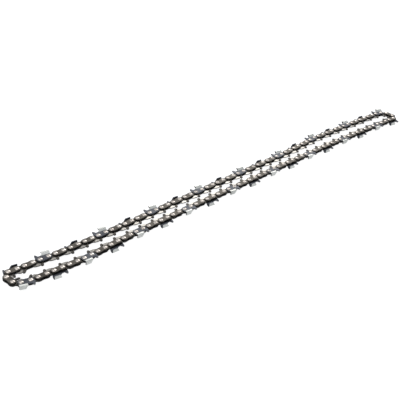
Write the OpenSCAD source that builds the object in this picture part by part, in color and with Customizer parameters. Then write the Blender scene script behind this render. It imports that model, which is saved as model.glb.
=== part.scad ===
// Chainsaw chain, lying on its side as one long closed loop.
// Millimetres, +Z up. The origin is the middle of the loop, on the surface that it lies on.
// Links are numbered round the loop. Even links are straps or cutters, odd links are drive links.
// In a link's own frame the leading rivet is at the origin and the trailing rivet on +X,
// the cutting side is +Y and the guide bar side is -Y.

/* [Chain] */
// Pitch: half the distance over three neighbouring rivets
pitch = 9.525; // [9.2:0.025:9.9]
// Distance between the two rivets of a drive link
drive_span = 8.75; // [8.5:0.05:9]
// Repeats of the eight-rivet cutter pattern in each half of the loop
repeats = 9; // [8:1:12]

/* [Fits] */
// Radial running clearance of a drive link on its rivet hub
hub_clear = 0.06; // [0.04:0.01:0.1]
// Side clearance between a drive link and the strap beside it
side_clear = 0.1; // [0.06:0.01:0.2]
// Radial clearance of a strap on the rivet's shank
shank_clear = 0.03; // [0.02:0.01:0.06]

/* [Drive links] */
// Thickness of a drive link, which is the gauge of the guide bar's groove
gauge = 1.5; // [1.1:0.1:1.6]
// Radius of the eye round each rivet
eye_r = 3.9; // [3.6:0.1:4.2]
// Depth of the tang below the rivet line
tang_depth = 9; // [8.6:0.1:9.6]
// Angle of the tang's trailing flank to the rivet line
flank_angle = 44; // [41:1:48]
// Corner radius of the toe
toe_r = 0.6; // [0.4:0.1:0.8]
// Distance between the toe's two corner centres
toe_w = 1.5; // [1:0.1:2]
// Radius of the round lobe that leads the toe
lobe_r = 5.5; // [5.2:0.1:5.8]
// Distance of the lobe's centre behind the leading rivet
lobe_x = 1.8; // [1.4:0.1:2.2]
// Depth of the lobe below the rivet line
lobe_depth = 7.6; // [7.2:0.1:8]
// Radius of the hook notch between the lobe and the toe
notch_r = 0.7; // [0.4:0.1:0.9]
// Diameter of the oil hole
oil_d = 2; // [1.4:0.1:2.4]
// Distance of the oil hole behind the leading rivet
oil_x = 4.8; // [4.4:0.1:5.2]
// Depth of the relief ground into both faces of the lobe
relief_t = 0.2; // [0.1:0.05:0.35]
// Depth of the waist between the two eyes
eye_waist = 0.2; // [0.15:0.05:0.5]

/* [Straps] */
// Thickness of straps and cutters
plate_t = 1.3; // [1.1:0.1:1.5]
// Height of a strap, and of a cutter's foot
strap_h = 7.6; // [7:0.1:8]
// Depth of the waist in a strap's outer edge
waist = 0.5; // [0.2:0.1:0.9]
// Radius of the waist
waist_r = 9; // [7:0.5:12]

/* [Cutters] */
// Width of the cut, over the outer faces of left and right cutters
kerf = 8.2; // [7.6:0.1:8.8]
// Height of the working corner above the rivet line
cutter_h = 9.5; // [9:0.1:10.2]
// Distance of the working corner behind the leading rivet
corner_x = 5; // [4.6:0.1:5.6]
// Overhang of the top plate beyond the trailing rivet
tail = 4.3; // [4:0.1:4.6]
// Width of the top plate from the outer face inwards
top_w = 5; // [4.2:0.1:5.6]
// Angle at which the top plate falls away behind its cutting edge
relief = 6; // [3:0.5:8]
// Radius of the bend between the side plate and the top plate
bend_r = 1.3; // [0.6:0.1:1.3]
// Height above the rivet line at which the side plate starts to flare
flare_y = 4.4; // [4:0.1:5]
// Height over which the side plate flares out to the kerf
flare_h = 2.6; // [2.2:0.1:3]
// Diameter of the sharpening file that shapes the cutting edge
file_d = 5.5; // [4.8:0.1:5.8]
// Share of the file's diameter that stands above the top plate
file_rise = 0.2; // [0.1:0.05:0.3]
// Angle of the cutting edge across the top plate
top_angle = 30; // [20:1:35]
// Depth gauge setting: how far the gauge stays below the working corner
setting = 0.65; // [0.4:0.05:1]
// Distance of the gauge's tip ahead of the leading rivet
gauge_x = 1.75; // [1.4:0.05:2.1]
// Radius of the gauge's tip
gauge_r = 0.8; // [0.6:0.05:1]
// How far the gauge's front edge reaches ahead of the leading rivet
gauge_front = 4.2; // [4:0.1:4.5]

/* [Rivets] */
// Diameter of the hub that the drive link turns on
hub_d = 4.4; // [4:0.1:4.8]
// Diameter of the shank in the straps
shank_d = 3.2; // [2.8:0.1:3.5]
// Diameter of the peened head
head_d = 5.2; // [4.8:0.1:5.8]
// Height of the head's straight rim
rim_h = 0.2; // [0.1:0.05:0.4]
// Height of the head's dome above the rim
dome_h = 0.65; // [0.4:0.05:0.9]
// Radius of the punch mark in the head
punch_r = 0.55; // [0.3:0.05:0.8]

/* [Shape of the loop at rest] */
// Turn at the first bent pivot of each end, in degrees
turn_1 = 12; // [8:1:16]
// Turn at the second bent pivot
turn_2 = 30; // [24:1:34]
// Turn at the third bent pivot
turn_3 = 40; // [32:1:42]
// Turn at the fourth bent pivot
turn_4 = 50; // [42:1:52]
// Turn at the fifth bent pivot
turn_5 = 50; // [42:1:52]
// Lean of the rear run left of its middle, and of the front run right of its middle
lean_angle_1 = 2.5; // [0:0.5:5]
// Lean of both runs just left of the middle
lean_angle_2 = 3.5; // [1:0.5:5]
// Lean of both runs through the middle
lean_angle_3 = 3; // [1:0.5:5]
// Lean of the front run left of its middle, and of the rear run right of its middle
lean_angle_4 = 6; // [3:0.5:7]
// Lean of both runs before the right end
lean_angle_5 = 1; // [-2:0.5:4]

/* [Hidden] */
$fn = 48;

// Places in the stack, counted from the chain's middle plane
outer_span = 2 * pitch - drive_span;
strap_z = gauge / 2 + side_clear;
strap_r = strap_h / 2;
cheek_z = strap_z + plate_t;

// Numbers of links: each end has nine hinged links, and each run between them has three stretches
half = 8 * repeats;
total = 2 * half;
end_links = 9;
lead_in = 6;
rear_run = end_links - lead_in;
right_end = half - lead_in;
front_run = half + rear_run;
left_end = total - lead_in;
run_links = half - end_links;
outer_stretch = round(run_links / 3);
middle_stretch = run_links - 2 * outer_stretch;

// Both ends turn alike, and each lean on one run has an equal stretch with the same lean on the
// other, so the loop closes at any setting.
turn_6 = 180 - turn_1 - turn_2 - turn_3 - turn_4 - turn_5;
end_turns = [0, 0, turn_1, turn_2, turn_3, turn_4, turn_5, turn_6, 0];
lean_links = 2 * floor(outer_stretch / 5);
right_of_middle = outer_stretch + middle_stretch;

function turned_by(j) = j < 1 ? 0 : end_turns[j] + turned_by(j - 1);
function lean_at(place, left, right) =
    place < outer_stretch - 2 * lean_links ? 0
    : place < outer_stretch - lean_links ? left
    : place < outer_stretch ? lean_angle_2
    : place < right_of_middle ? lean_angle_3
    : place < right_of_middle + lean_links ? right
    : place < right_of_middle + 2 * lean_links ? lean_angle_5
    : 0;
function raw_heading(k) =
    k < rear_run ? 180 - turned_by(k + lead_in)
    : k < right_end ? lean_at(k - rear_run, lean_angle_1, lean_angle_4)
    : k < front_run ? -turned_by(k - right_end)
    : k < left_end ? 180 + lean_at(left_end - 1 - k, lean_angle_4, lean_angle_1)
    : 180 - turned_by(k - left_end);
function span(k) = k % 2 == 0 ? outer_span : drive_span;
function bearing(a) = [cos(a), sin(a)];
function middle(v) = (min(v) + max(v)) / 2;

// Headings and pivots before the loop is turned to lie along X
raw_headings = [for (k = [0 : total - 1]) raw_heading(k)];
raw_pivots = [
    for (k = 0, p = [0, 0]; k < total; p = p + span(k) * bearing(raw_headings[k]), k = k + 1) p
];

// The same, turned so that the middles of both ends lie along X, and centred on the origin
nose_link = right_end + 4;
nose_line = raw_pivots[nose_link] + raw_pivots[nose_link + 1]
    - raw_pivots[nose_link + half] - raw_pivots[nose_link + half + 1];
yaw = -atan2(nose_line.y, nose_line.x);
turned = [for (p = raw_pivots) p.x * bearing(yaw) + p.y * bearing(yaw + 90)];
centre = [middle([for (p = turned) p.x]), middle([for (p = turned) p.y])];
pivots = [for (p = turned) p - centre];
headings = [for (a = raw_headings) a + yaw];

// Drive link outline
flank = bearing(flank_angle - 90);
toe_y = toe_r - tang_depth;
body_r = eye_r - eye_waist;
toe_x = drive_span + (body_r - toe_r - toe_y * flank.y) / flank.x;
lobe_y = lobe_r - lobe_depth;
heel_x = toe_x - toe_w - toe_r;
notch_at = [heel_x - notch_r / 2, -lobe_depth - notch_r / 3];
oil_at = [oil_x, -(strap_r + oil_d * 2 / 3)];

// Cutter outline and file
tail_x = outer_span + tail;
gauge_top = cutter_h - setting;
file_r = file_d / 2;
file_y = cutter_h + file_rise * file_d - file_r;
file_ahead = sqrt(file_r * file_r - pow(cutter_h - file_y, 2)) / cos(top_angle);
gullet_y = file_y - file_r;
floor_y = gullet_y - side_clear / 2;
corner_r = min(bend_r, plate_t);
clear_of_cutter = 3 * cutter_h;

function link_at(k) = k % total;
function kind_of(k) = (link_at(k) / 2) % 4;
function is_even(k) = k % 2 == 0;
// Every other even link carries a cutter, and cutters alternate between the upper and lower side
function cutter_side(k) = kind_of(k) == 0 ? -1 : kind_of(k) == 2 ? 1 : 0;

// Puts a shape drawn in link k's own frame where that link lies
module on_link(k) {
    i = link_at(k);
    translate([pivots[i].x, pivots[i].y, kerf / 2])
        rotate([0, 0, headings[i]])
            children();
}

// Draws a shape at +Z for the upper side, or mirrored below for the lower side
module on_side(side) {
    mirror([0, 0, side < 0 ? 1 : 0])
        children();
}

function arc_points(c, r, from, to, steps = 6) =
    [for (i = [0 : steps]) c + r * bearing(from + (to - from) * i / steps)];

// Two circles joined by their outer tangents
module taper(a, ra, b, rb) {
    line = b - a;
    base = atan2(line.y, line.x);
    spread = acos((ra - rb) / norm(line));
    translate(a)
        circle(r = ra);
    translate(b)
        circle(r = rb);
    polygon([
        a + ra * bearing(base + spread),
        a + ra * bearing(base - spread),
        b + rb * bearing(base - spread),
        b + rb * bearing(base + spread)
    ]);
}

module drive_outline() {
    difference() {
        union() {
            for (x = [0, drive_span])
                translate([x, 0])
                    circle(r = eye_r);
            translate([lobe_x, lobe_y])
                circle(r = lobe_r);
            polygon(concat(
                [[0, body_r], [heel_x, lobe_y]],
                arc_points([toe_x - toe_w, toe_y], toe_r, -180, -90),
                arc_points([toe_x, toe_y], toe_r, -90, flank_angle - 90),
                [[drive_span, 0] + body_r * flank, [drive_span, 0], [drive_span, body_r]]
            ));
        }
        translate(notch_at)
            circle(r = notch_r);
        translate(oil_at)
            circle(d = oil_d);
        for (x = [0, drive_span])
            translate([x, 0])
                circle(d = hub_d + 2 * hub_clear);
    }
}

// Below the straps the lobe is ground a little thinner, up to a line from the notch past the oil hole
module drive_link() {
    difference() {
        linear_extrude(gauge, center = true)
            drive_outline();
        for (side = [-1, 1])
            on_side(side)
                translate([0, 0, gauge / 2 - relief_t])
                    linear_extrude(2 * relief_t)
                        polygon([
                            [-lobe_depth, -strap_r],
                            [-lobe_depth, -2 * lobe_depth],
                            [notch_at.x, -2 * lobe_depth],
                            notch_at,
                            [oil_at.x + oil_d / 4, -strap_r]
                        ]);
    }
}

module shank_holes() {
    for (x = [0, outer_span])
        translate([x, 0])
            circle(d = shank_d + 2 * shank_clear);
}

// Foot that straps and cutters share: two round ends and the stretch between them
module foot_outline() {
    taper([0, 0], strap_r, [outer_span, 0], strap_r);
}

module tie_strap() {
    translate([0, 0, strap_z])
        linear_extrude(plate_t)
            difference() {
                foot_outline();
                translate([outer_span / 2, strap_r + waist_r - waist])
                    circle(r = waist_r, $fn = 96);
                shank_holes();
            }
}

// Side plate and top plate seen along the chain, drawn as [height, place across the chain]
module head_section() {
    out_z = kerf / 2;
    in_z = out_z - plate_t;
    edge_z = out_z - top_w;
    flare_top = flare_y + flare_h;
    lean = atan2(out_z - cheek_z, flare_h);
    inset = plate_t * tan(lean / 2);
    bend_y = cutter_h - corner_r;
    bend_z = out_z - corner_r;
    polygon([
        [0, cheek_z],
        [0, strap_z],
        [flare_y + inset, strap_z],
        [flare_top + inset, in_z],
        [cutter_h - plate_t, in_z],
        [cutter_h - plate_t, edge_z],
        [cutter_h, edge_z],
        [cutter_h, bend_z],
        [bend_y, bend_z],
        [bend_y, out_z],
        [flare_top, out_z],
        [flare_y, cheek_z]
    ]);
    intersection() {
        translate([bend_y, bend_z])
            circle(r = corner_r);
        translate([bend_y, bend_z])
            square(corner_r);
    }
}

// The round file's path, which hollows the cutting edge and the gullet
module file_path() {
    translate([corner_x - file_ahead, file_y, kerf / 2])
        rotate([0, -top_angle, 0])
            children();
}

module cutter_head() {
    difference() {
        intersection() {
            translate([corner_x, cutter_h, 0])
                rotate([0, 0, -relief])
                    translate([-file_d, -cutter_h, 0])
                        rotate([90, 0, 90])
                            linear_extrude(tail_x + file_d)
                                head_section();
            translate([0, 0, -kerf])
                linear_extrude(2 * kerf)
                    polygon([
                        [0, strap_r / 2],
                        [tail_x - tail / 4, strap_r / 2],
                        [tail_x, flare_y],
                        [tail_x, 2 * cutter_h],
                        [0, 2 * cutter_h]
                    ]);
        }
        file_path()
            translate([-clear_of_cutter, -clear_of_cutter / 2, -clear_of_cutter / 2])
                cube(clear_of_cutter);
    }
}

module cutter_foot() {
    translate([0, 0, strap_z])
        linear_extrude(plate_t)
            union() {
                foot_outline();
                square([corner_x, floor_y]);
                polygon(concat(
                    [[0, 0], [gauge_r / 2, floor_y]],
                    arc_points([-gauge_x, gauge_top - gauge_r], gauge_r, 15, 165),
                    [[-gauge_front, strap_r - gauge_r], [-strap_r + gauge_r / 2, 0]]
                ));
            }
}

module cutter() {
    difference() {
        union() {
            cutter_foot();
            cutter_head();
        }
        file_path()
            cylinder(h = clear_of_cutter, d = file_d, center = true);
        linear_extrude(clear_of_cutter, center = true)
            shank_holes();
    }
}

// Hub, shank and peened heads as one turned piece, drawn as [radius, height]
module rivet_half_section() {
    rim_z = cheek_z + rim_h;
    head_r = head_d / 2;
    dome_r = (head_r * head_r + dome_h * dome_h) / (2 * dome_h);
    square([hub_d / 2, strap_z]);
    square([shank_d / 2, cheek_z]);
    difference() {
        union() {
            translate([0, cheek_z])
                square([head_r, rim_h]);
            intersection() {
                translate([0, rim_z + dome_h - dome_r])
                    circle(r = dome_r, $fn = 96);
                translate([0, rim_z])
                    square([head_r, dome_h]);
            }
        }
        translate([0, rim_z + dome_h + punch_r / 3])
            circle(r = punch_r);
    }
}

module rivet() {
    rotate_extrude()
        union() {
            rivet_half_section();
            mirror([0, 1])
                rivet_half_section();
        }
}

// Pieces of links a to b
module drive_links(a, b) {
    color([0.36, 0.33, 0.30])
        for (k = [a : b])
            if (!is_even(k))
                on_link(k)
                    drive_link();
}

// A plain link has a strap on both sides, and a cutter has one strap opposite it
module straps(a, b) {
    color([0.42, 0.40, 0.37])
        for (k = [a : b])
            if (is_even(k))
                for (side = [-1, 1])
                    if (side != cutter_side(k))
                        on_link(k)
                            on_side(side)
                                tie_strap();
}

module cutters(a, b) {
    color([0.62, 0.63, 0.66])
        for (k = [a : b])
            if (is_even(k) && cutter_side(k) != 0)
                on_link(k)
                    on_side(cutter_side(k))
                        cutter();
}

module rivets(a, b) {
    color([0.80, 0.76, 0.72])
        for (k = [a : b])
            if (is_even(k))
                for (x = [0, outer_span])
                    on_link(k)
                        translate([x, 0, 0])
                            rivet();
}

// First and last link of each stretch
rear_left = [rear_run, rear_run + outer_stretch - 1];
rear_middle = [rear_left[1] + 1, rear_left[1] + middle_stretch];
rear_right = [rear_middle[1] + 1, right_end - 1];
front_right = [front_run, front_run + outer_stretch - 1];
front_middle = [front_right[1] + 1, front_right[1] + middle_stretch];
front_left = [front_middle[1] + 1, left_end - 1];

drive_links(rear_left[0], rear_left[1]);  // rear_left_drive_links
straps(rear_left[0], rear_left[1]);  // rear_left_straps
cutters(rear_left[0], rear_left[1]);  // rear_left_cutters
rivets(rear_left[0], rear_left[1]);  // rear_left_rivets
drive_links(rear_middle[0], rear_middle[1]);  // rear_middle_drive_links
straps(rear_middle[0], rear_middle[1]);  // rear_middle_straps
cutters(rear_middle[0], rear_middle[1]);  // rear_middle_cutters
rivets(rear_middle[0], rear_middle[1]);  // rear_middle_rivets
drive_links(rear_right[0], rear_right[1]);  // rear_right_drive_links
straps(rear_right[0], rear_right[1]);  // rear_right_straps
cutters(rear_right[0], rear_right[1]);  // rear_right_cutters
rivets(rear_right[0], rear_right[1]);  // rear_right_rivets
drive_links(front_right[0], front_right[1]);  // front_right_drive_links
straps(front_right[0], front_right[1]);  // front_right_straps
cutters(front_right[0], front_right[1]);  // front_right_cutters
rivets(front_right[0], front_right[1]);  // front_right_rivets
drive_links(front_middle[0], front_middle[1]);  // front_middle_drive_links
straps(front_middle[0], front_middle[1]);  // front_middle_straps
cutters(front_middle[0], front_middle[1]);  // front_middle_cutters
rivets(front_middle[0], front_middle[1]);  // front_middle_rivets
drive_links(front_left[0], front_left[1]);  // front_left_drive_links
straps(front_left[0], front_left[1]);  // front_left_straps
cutters(front_left[0], front_left[1]);  // front_left_cutters
rivets(front_left[0], front_left[1]);  // front_left_rivets

straps(right_end, right_end);  // right_end_rear_straps
rivets(right_end, right_end);  // right_end_rear_rivets
drive_links(right_end + 1, right_end + 1);  // right_end_drive_link_1
cutters(right_end + 2, right_end + 2);  // right_end_upper_cutter
straps(right_end + 2, right_end + 2);  // right_end_upper_cutter_strap
rivets(right_end + 2, right_end + 2);  // right_end_upper_cutter_rivets
drive_links(right_end + 3, right_end + 3);  // right_end_drive_link_2
straps(right_end + 4, right_end + 4);  // right_end_nose_straps
rivets(right_end + 4, right_end + 4);  // right_end_nose_rivets
drive_links(right_end + 5, right_end + 5);  // right_end_drive_link_3
cutters(right_end + 6, right_end + 6);  // right_end_lower_cutter
straps(right_end + 6, right_end + 6);  // right_end_lower_cutter_strap
rivets(right_end + 6, right_end + 6);  // right_end_lower_cutter_rivets
drive_links(right_end + 7, right_end + 7);  // right_end_drive_link_4
straps(right_end + 8, right_end + 8);  // right_end_front_straps
rivets(right_end + 8, right_end + 8);  // right_end_front_rivets

straps(left_end, left_end);  // left_end_front_straps
rivets(left_end, left_end);  // left_end_front_rivets
drive_links(left_end + 1, left_end + 1);  // left_end_drive_link_1
cutters(left_end + 2, left_end + 2);  // left_end_upper_cutter
straps(left_end + 2, left_end + 2);  // left_end_upper_cutter_strap
rivets(left_end + 2, left_end + 2);  // left_end_upper_cutter_rivets
drive_links(left_end + 3, left_end + 3);  // left_end_drive_link_2
straps(left_end + 4, left_end + 4);  // left_end_nose_straps
rivets(left_end + 4, left_end + 4);  // left_end_nose_rivets
drive_links(left_end + 5, left_end + 5);  // left_end_drive_link_3
cutters(left_end + 6, left_end + 6);  // left_end_lower_cutter
straps(left_end + 6, left_end + 6);  // left_end_lower_cutter_strap
rivets(left_end + 6, left_end + 6);  // left_end_lower_cutter_rivets
drive_links(left_end + 7, left_end + 7);  // left_end_drive_link_4
straps(left_end + 8, left_end + 8);  // left_end_rear_straps
rivets(left_end + 8, left_end + 8);  // left_end_rear_rivets
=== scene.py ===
import math

import bpy
from mathutils import Matrix, Vector

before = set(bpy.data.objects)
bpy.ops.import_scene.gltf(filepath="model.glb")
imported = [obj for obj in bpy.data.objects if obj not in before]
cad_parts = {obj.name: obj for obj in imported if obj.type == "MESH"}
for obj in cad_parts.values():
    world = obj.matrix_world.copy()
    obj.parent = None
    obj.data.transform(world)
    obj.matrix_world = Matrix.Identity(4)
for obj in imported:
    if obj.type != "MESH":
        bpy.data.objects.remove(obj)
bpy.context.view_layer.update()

# Sizes shared with the part's source, in metres
PITCH = 0.009525
DRIVE_SPAN = 0.00875
OUTER_SPAN = 2 * PITCH - DRIVE_SPAN
KERF = 0.0082
GAUGE = 0.0015
CUTTER_H = 0.0095
FLARE_Y = 0.0044
FLARE_H = 0.0026

# Counts of links shared with the part's source
HALF = 72
TOTAL = 2 * HALF
LEAD_IN = 6
END_LINKS = 9
REAR_RUN = END_LINKS - LEAD_IN
RIGHT_END = HALF - LEAD_IN
FRONT_RUN = HALF + REAR_RUN
LEFT_END = TOTAL - LEAD_IN
OUTER_STRETCH = 21
MIDDLE_STRETCH = 21
LEAN_LINKS = 8

# Angles shared with the part's source, in degrees
LEANS = (2.5, 3.5, 3.0, 6.0, 1.0)
END_TURNS = (0, 0, 12, 30, 40, 50, 50, -2, 0)

# How the tangs' toes move forward, in metres from a drive link's first pivot, with a share for the oil hole
TOE_SHIFT = 0.0033
TANG_TOP = 0.00266
TANG_END = 0.0084
LOBE_BACK = 0.002
LOBE_FRONT = 0.0012
OIL_AT = Vector((0.0048, -0.005133))
OIL_REACH = 0.0015
OIL_SHARE = 0.75
TANG_MIDDLE = Vector((DRIVE_SPAN / 2, -0.002, 0.0))

# What tells the faces of one finish from those of another, and the upright rim faces that get painted shade
CHEEK_Z = GAUGE / 2 + 0.0015
LOBE_Z = GAUGE / 2 - 0.0001
UPRIGHT = 0.5
OUTWARD = 0.3

# Widths of the rounded edges, and what counts as one point, one plane and an edge
DRIVE_EDGE = 0.00012
CUTTER_EDGE = 0.0001
PLATE_EDGE = 0.00013
WELD_REACH = 0.000002
FLAT_ANGLE = math.radians(0.6)
SHARP_ANGLE = math.radians(28.0)

# Material slots of the plates and drive links; slot 1 holds the painted shade of the upright rims
SHADED_RIM = 1
POLISHED = 2


def lean_at(place, left, right):
    """A link's lean in degrees, by its place along a run."""
    right_of_middle = OUTER_STRETCH + MIDDLE_STRETCH
    for limit, lean in (
        (OUTER_STRETCH - 2 * LEAN_LINKS, 0.0),
        (OUTER_STRETCH - LEAN_LINKS, left),
        (OUTER_STRETCH, LEANS[1]),
        (right_of_middle, LEANS[2]),
        (right_of_middle + LEAN_LINKS, right),
        (right_of_middle + 2 * LEAN_LINKS, LEANS[4]),
    ):
        if place < limit:
            return lean
    return 0.0


def raw_heading(k):
    """Link k's heading in degrees, before the loop is turned level."""
    if k < REAR_RUN:
        return 180 - sum(END_TURNS[1 : k + LEAD_IN + 1])
    if k < RIGHT_END:
        return lean_at(k - REAR_RUN, LEANS[0], LEANS[3])
    if k < FRONT_RUN:
        return -sum(END_TURNS[1 : k - RIGHT_END + 1])
    if k < LEFT_END:
        return 180 + lean_at(LEFT_END - 1 - k, LEANS[3], LEANS[0])
    return 180 - sum(END_TURNS[1 : k - LEFT_END + 1])


def bearing(degrees):
    a = math.radians(degrees)
    return Vector((math.cos(a), math.sin(a)))


def link_frames():
    """Every link's matrix: origin at its first pivot, X along the link, Y out of the loop."""
    raw = [Vector((0.0, 0.0))]
    for k in range(TOTAL - 1):
        span = OUTER_SPAN if k % 2 == 0 else DRIVE_SPAN
        raw.append(raw[-1] + span * bearing(raw_heading(k)))
    nose = RIGHT_END + END_LINKS // 2
    across = raw[nose] + raw[nose + 1] - raw[nose - HALF] - raw[nose - HALF + 1]
    yaw = -math.degrees(math.atan2(across.y, across.x))
    turned = [p.x * bearing(yaw) + p.y * bearing(yaw + 90) for p in raw]
    mid = Vector([(min(v) + max(v)) / 2 for v in zip(*turned)])
    frames = []
    for k, p in enumerate(turned):
        spot = Vector((p.x - mid.x, p.y - mid.y, KERF / 2))
        turn = Matrix.Rotation(math.radians(raw_heading(k) + yaw), 4, "Z")
        frames.append(Matrix.Translation(spot) @ turn)
    return frames


FRAMES = link_frames()


def cutter_side(k):
    """1 where link k has an upper cutter, -1 where it has a lower one, else 0."""
    if k % 2:
        return 0
    return {0: -1, 2: 1}.get(k // 2 % 4, 0)


# Materials


class Nodes:
    """A material's node tree, with short calls to add and join nodes."""

    def __init__(self, name):
        self.mat = bpy.data.materials.new(name)
        self.mat.use_nodes = True
        self.tree = self.mat.node_tree
        self.tree.nodes.clear()
        self.shader = self.add("ShaderNodeBsdfPrincipled")
        out = self.add("ShaderNodeOutputMaterial")
        self.join(self.shader.outputs["BSDF"], out.inputs["Surface"])
        self.where = self.add("ShaderNodeTexCoord").outputs["Object"]

    def add(self, kind, **values):
        node = self.tree.nodes.new(kind)
        for key, value in values.items():
            setattr(node, key, value)
        return node

    def join(self, a, b):
        self.tree.links.new(a, b)

    def fill(self, socket, value):
        """Joins a node's output to the socket, or sets it to a plain number or colour."""
        if isinstance(value, bpy.types.NodeSocket):
            self.join(value, socket)
        elif socket.type == "RGBA":
            socket.default_value = (*value, 1.0)
        else:
            socket.default_value = value

    def scaled(self, scale):
        node = self.add("ShaderNodeMapping")
        node.inputs["Scale"].default_value = scale
        self.join(self.where, node.inputs["Vector"])
        return node.outputs["Vector"]

    def noise(self, scale, detail, rough, vector=None):
        node = self.add("ShaderNodeTexNoise")
        node.inputs["Scale"].default_value = scale
        node.inputs["Detail"].default_value = detail
        node.inputs["Roughness"].default_value = rough
        self.join(vector or self.where, node.inputs["Vector"])
        return node.outputs["Fac"]

    def ramp(self, fac, stops):
        node = self.add("ShaderNodeValToRGB")
        ramp = node.color_ramp
        for element, (place, colour) in zip(ramp.elements, stops):
            element.position = place
            element.color = (*colour, 1.0)
        self.join(fac, node.inputs["Fac"])
        return node.outputs["Color"]

    def span(self, fac, low, high, from_low, from_high):
        node = self.add("ShaderNodeMapRange")
        for key, value in (
            ("From Min", from_low),
            ("From Max", from_high),
            ("To Min", low),
            ("To Max", high),
        ):
            node.inputs[key].default_value = value
        self.join(fac, node.inputs["Value"])
        return node.outputs["Result"]

    def mix(self, fac, a, b):
        node = self.add("ShaderNodeMix", data_type="RGBA")
        for place, value in ((0, fac), (6, a), (7, b)):
            self.fill(node.inputs[place], value)
        return node.outputs[2]

    def maths(self, operation, a, b):
        node = self.add("ShaderNodeMath", operation=operation)
        for socket, value in zip(node.inputs, (a, b)):
            self.fill(socket, value)
        return node.outputs[0]

    def edge_mask(self, radius, strength):
        """Near 1 on edges as wide as radius, 0 on flats."""
        bevel = self.add("ShaderNodeBevel", samples=6)
        bevel.inputs["Radius"].default_value = radius
        geometry = self.add("ShaderNodeNewGeometry")
        dot = self.add("ShaderNodeVectorMath", operation="DOT_PRODUCT")
        self.join(bevel.outputs["Normal"], dot.inputs[0])
        self.join(geometry.outputs["True Normal"], dot.inputs[1])
        return self.span(dot.outputs["Value"], 1.0, 0.0, 1.0 - strength, 1.0)

    def bump(self, height, depth):
        node = self.add("ShaderNodeBump")
        node.inputs["Distance"].default_value = depth
        node.inputs["Strength"].default_value = 1.0
        self.join(height, node.inputs["Height"])
        self.join(node.outputs["Normal"], self.shader.inputs["Normal"])


# What all steels share: grain per metre, shares of the tone, wear on the edges and depth of the grain
GRAIN = 900.0
BROAD_GRAIN = GRAIN / 9
LINES_GRAIN = (GRAIN * 0.4, GRAIN * 7, GRAIN * 2)
BROAD_SHARE = 0.4
FINE_SHARE = 0.35
LINES_SHARE = 0.25
TONE_RANGE = (0.42, 0.58)
NOISE_RANGE = (0.3, 0.7)
PATCH_RANGE = (0.2, 1.0)
ROUGH_SWING = 0.09
WEAR_WIDTH = 0.00016
WEAR_ONSET = 0.35
WEAR = 0.5
GRIT = 0.00003
POLISH_GRIT = 0.000008


def steel(name, dark, light, worn, rough, grit=GRIT, metallic=1.0):
    """Steel in blotches, fine grain and drawn lines, with brighter worn edges."""
    n = Nodes(name)
    broad = n.noise(BROAD_GRAIN, detail=4.0, rough=0.55)
    fine = n.noise(GRAIN, detail=9.0, rough=0.68)
    lines = n.noise(1.0, detail=5.0, rough=0.6, vector=n.scaled(LINES_GRAIN))
    tone = n.maths("MULTIPLY", broad, BROAD_SHARE)
    tone = n.maths("ADD", tone, n.maths("MULTIPLY", fine, FINE_SHARE))
    tone = n.maths("ADD", tone, n.maths("MULTIPLY", lines, LINES_SHARE))
    colour = n.ramp(tone, zip(TONE_RANGE, (dark, light)))
    patches = n.span(fine, *PATCH_RANGE, *NOISE_RANGE)
    mask = n.maths("MULTIPLY", n.edge_mask(WEAR_WIDTH, WEAR_ONSET), patches)
    colour = n.mix(n.maths("MULTIPLY", mask, WEAR), colour, worn)
    n.join(colour, n.shader.inputs["Base Color"])
    n.shader.inputs["Metallic"].default_value = metallic
    sheen = n.span(n.mix(0.5, broad, lines), rough - ROUGH_SWING, rough + ROUGH_SWING, *NOISE_RANGE)
    n.join(sheen, n.shader.inputs["Roughness"])
    n.bump(n.mix(0.4, fine, lines), grit)
    return n.mat


plate = steel(
    "plate_steel",
    dark=(0.06, 0.0545, 0.047),
    light=(0.16, 0.146, 0.127),
    worn=(0.36, 0.335, 0.3),
    rough=0.48,
)
drive = steel(
    "drive_link_steel",
    dark=(0.055, 0.0515, 0.046),
    light=(0.125, 0.117, 0.104),
    worn=(0.34, 0.32, 0.29),
    rough=0.48,
)
# Near-black steel for the upright faces of plates and drive links: painted shade on their rims, with real
# wear brighter along the edges
rim = steel(
    "rim_painted_shade",
    dark=(0.014, 0.013, 0.012),
    light=(0.045, 0.041, 0.037),
    worn=(0.22, 0.205, 0.185),
    rough=0.46,
)
cheek = steel(
    "cutter_side_steel",
    dark=(0.06, 0.064, 0.075),
    light=(0.125, 0.131, 0.148),
    worn=(0.34, 0.35, 0.37),
    rough=0.46,
)
chrome = steel(
    "cutter_chrome",
    dark=(0.68, 0.69, 0.65),
    light=(0.9, 0.905, 0.865),
    worn=(0.95, 0.95, 0.93),
    rough=0.4,
    metallic=0.75,
)
ground = steel(
    "ground_lobe_steel",
    dark=(0.2, 0.192, 0.178),
    light=(0.36, 0.348, 0.325),
    worn=(0.5, 0.48, 0.45),
    rough=0.2,
    grit=POLISH_GRIT,
)
rivet = steel(
    "rivet_steel",
    dark=(0.5, 0.45, 0.405),
    light=(0.83, 0.765, 0.705),
    worn=(0.9, 0.85, 0.8),
    rough=0.27,
)


# Dressing the solids


def dress(ob, *mats):
    ob.data.materials.clear()
    for m in mats:
        ob.data.materials.append(m)


def soften(ob, width):
    """Rounds the sharp edges, after joining the faces that lie in one plane."""
    weld = ob.modifiers.new("weld", "WELD")
    weld.merge_threshold = WELD_REACH
    flat = ob.modifiers.new("flat", "DECIMATE")
    flat.decimate_type = "DISSOLVE"
    flat.angle_limit = FLAT_ANGLE
    flat.delimit = {"MATERIAL"}
    bevel = ob.modifiers.new("bevel", "BEVEL")
    bevel.width = width
    bevel.segments = 2
    bevel.limit_method = "ANGLE"
    bevel.angle_limit = SHARP_ANGLE
    bevel.harden_normals = True


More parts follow.
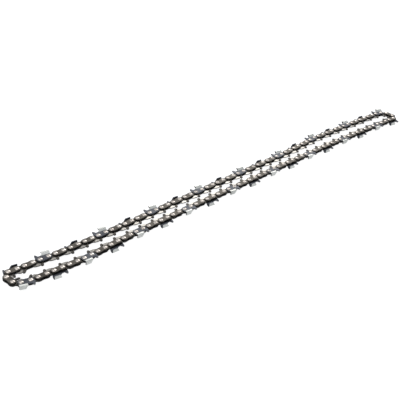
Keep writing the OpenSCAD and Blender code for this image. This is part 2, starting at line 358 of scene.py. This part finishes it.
def is_bright(k, centre, normal):
    """Whether a cutter's face is on the plated outer side of its head."""
    side = cutter_side(k)
    back = FRAMES[k].inverted()
    at = back @ centre
    way = back.to_3x3() @ normal
    outside = way.z * side > OUTWARD and at.y > FLARE_Y and at.z * side > CHEEK_Z
    return outside or (way.y > UPRIGHT and at.y > FLARE_Y + FLARE_H)


def show_plating(ob):
    """Gives the plated faces of a cutter the second material."""
    for face in ob.data.polygons:
        k = min(CUTTERS, key=lambda c: (CUTTERS[c] - face.center.xy).length_squared)
        face.material_index = int(is_bright(k, face.center, face.normal))


def show_rims(ob):
    """Gives the upright faces of a plate the second material, the near-black painted shade of the rims."""
    for face in ob.data.polygons:
        face.material_index = SHADED_RIM if abs(face.normal.z) < UPRIGHT else 0


def show_lobes(ob):
    """Gives the lobes of drive links, which lie lower than their flats, the third material."""
    for face in ob.data.polygons:
        if abs(face.normal.z) > UPRIGHT and abs(face.center.z - KERF / 2) < LOBE_Z:
            face.material_index = POLISHED


def lean_tangs(ob):
    """Brings the tangs' toes forward along their links, as they stand in the photo."""
    group = ob.vertex_groups.new(name="tangs")
    spots = {k: FRAMES[k] @ TANG_MIDDLE for k in range(1, TOTAL, 2)}
    backs = {k: FRAMES[k].inverted() for k in spots}
    for v in ob.data.vertices:
        k = min(spots, key=lambda c: (spots[c].xy - v.co.xy).length_squared)
        at = backs[k] @ v.co
        if (at.xy - OIL_AT).length < OIL_REACH:
            share = OIL_SHARE
        else:
            below = min(max((-at.y - TANG_TOP) / (TANG_END - TANG_TOP), 0.0), 1.0)
            ahead = min(max((at.x + LOBE_BACK) / (LOBE_BACK + LOBE_FRONT), 0.0), 1.0)
            share = below * ahead * ahead * (3 - 2 * ahead)
        group.add([v.index], share, "REPLACE")
    shift = ob.modifiers.new("tangs", "DISPLACE")
    shift.direction = "X"
    shift.mid_level = 0.0
    shift.strength = TOE_SHIFT if ob.name.startswith("rear") else -TOE_SHIFT
    shift.vertex_group = group.name


CUTTER_MIDDLE = Vector((OUTER_SPAN / 2, CUTTER_H / 2, 0.0))
CUTTERS = {k: (FRAMES[k] @ CUTTER_MIDDLE).xy for k in range(TOTAL) if cutter_side(k)}

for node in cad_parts:
    ob = bpy.data.objects[node]
    if node.endswith("rivets"):
        dress(ob, rivet)
    elif "drive_link" in node:
        dress(ob, drive, rim, ground)
        show_rims(ob)
        show_lobes(ob)
        if node.endswith("links"):
            lean_tangs(ob)
        soften(ob, DRIVE_EDGE)
    elif node.endswith(("cutters", "cutter")):
        dress(ob, cheek, chrome)
        show_plating(ob)
        soften(ob, CUTTER_EDGE)
    else:
        dress(ob, plate, rim)
        show_rims(ob)
        soften(ob, PLATE_EDGE)

# Floor, lights and camera

FLOOR = 60.0
FLOOR_Z = -0.0001
floor_mesh = bpy.data.meshes.new("floor")
corners = ((-1, -1), (1, -1), (1, 1), (-1, 1))
floor_mesh.from_pydata([(FLOOR * x, FLOOR * y, FLOOR_Z) for x, y in corners], [], [(0, 1, 2, 3)])
floor = bpy.data.objects.new("floor", floor_mesh)
bpy.context.scene.collection.objects.link(floor)
paper = bpy.data.materials.new("floor_paper")
paper.use_nodes = True
shader = paper.node_tree.nodes["Principled BSDF"]
shader.inputs["Base Color"].default_value = (0.3, 0.3, 0.3, 1.0)
shader.inputs["Roughness"].default_value = 0.9
shader.inputs["Emission Color"].default_value = (1.0, 1.0, 1.0, 1.0)
shader.inputs["Emission Strength"].default_value = 0.92
floor_mesh.materials.append(paper)
floor.visible_glossy = False

world = bpy.data.worlds.new("studio")
bpy.context.scene.world = world
world.use_nodes = True
sky = world.node_tree.nodes["Background"]
sky.inputs["Color"].default_value = (0.93, 0.96, 1.0, 1.0)
sky.inputs["Strength"].default_value = 0.55


def softbox(name, at, size, power, colour=(1.0, 1.0, 1.0)):
    """A rectangular lamp that points at the middle of the chain."""
    lamp = bpy.data.lights.new(name, "AREA")
    lamp.shape = "RECTANGLE"
    lamp.size, lamp.size_y = size
    lamp.energy = power
    lamp.color = colour
    ob = bpy.data.objects.new(name, lamp)
    ob.location = at
    ob.rotation_euler = (-Vector(at)).to_track_quat("-Z", "Y").to_euler()
    bpy.context.scene.collection.objects.link(ob)


softbox("key", (0.9, 1.0, 1.3), (1.6, 1.0), 3.5, (1.0, 0.97, 0.93))
softbox("glint", (1.13, 0.98, 0.9), (0.8, 0.5), 4.5, (1.0, 0.98, 0.95))
softbox("top", (-0.5, 0.1, 1.4), (1.2, 1.2), 5.0)

CAMERA_AT = Vector((-0.665459, -0.574979, 0.534779))
RIGHT = Vector((0.727451, -0.680749, 0.085993))
UP = Vector((0.318162, 0.445687, 0.836741))
AHEAD = Vector((0.607937, 0.581329, -0.540805))
camera_data = bpy.data.cameras.new("camera")
camera_data.sensor_width = 36.0
camera_data.lens = 71.934
camera_data.clip_start = 0.01
camera_data.clip_end = 50.0
camera = bpy.data.objects.new("camera", camera_data)
facing = Matrix((RIGHT, UP, -AHEAD)).transposed()
camera.matrix_world = Matrix.Translation(CAMERA_AT) @ facing.to_4x4()
bpy.context.scene.collection.objects.link(camera)
bpy.context.scene.camera = camera
bpy.context.scene.view_settings.view_transform = "Standard"
